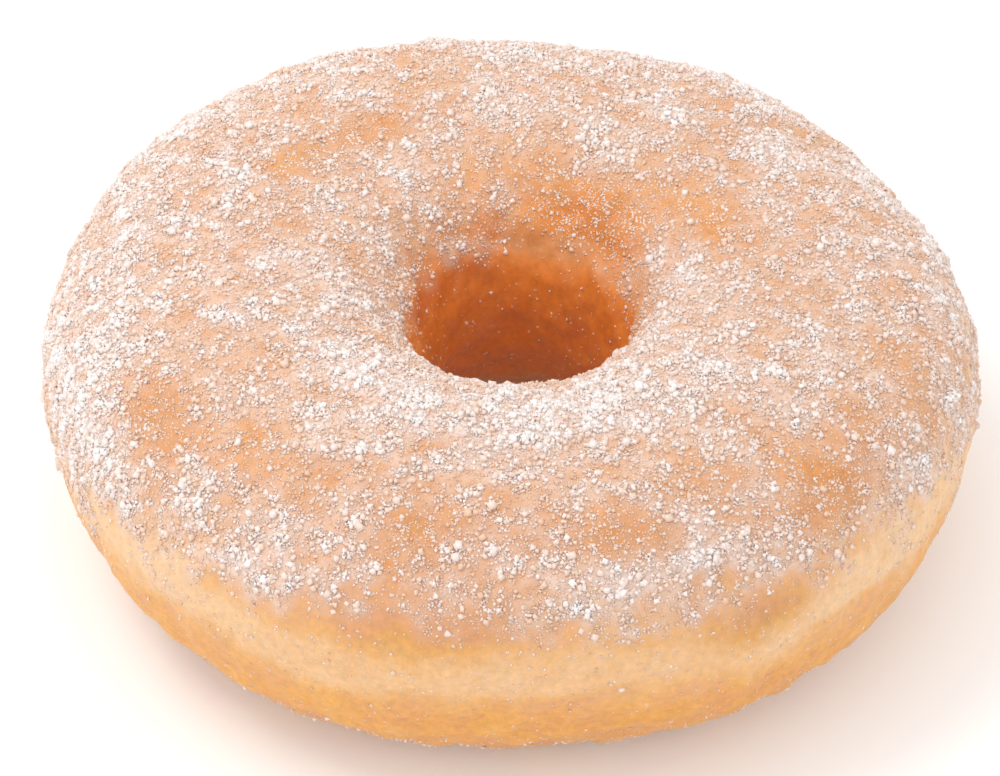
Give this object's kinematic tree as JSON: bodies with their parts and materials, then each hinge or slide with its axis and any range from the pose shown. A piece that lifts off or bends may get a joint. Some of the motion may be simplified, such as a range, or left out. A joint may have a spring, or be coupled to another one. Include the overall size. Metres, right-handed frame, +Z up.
{
  "type": "sugared ring doughnut",
  "caption": "Soft fried ring of dough with a round hole through its middle, rolled in fine white sugar, lying on its flat foot.",
  "frame": {"origin": "middle of the ring's outline, on the plane that its foot rests on", "axes": "+Z up along the axis of the hole, -Y towards the viewer of the picture, +X to the viewer's right"},
  "size_m": [0.092, 0.0912, 0.0318],
  "materials": {
    "sugared_crust": "matt golden fried crust under a coat of fine sugar crystals"
  },
  "bodies": {
    "root": {"doughnut": "sugared_crust"}
  },
  "joints": []
}
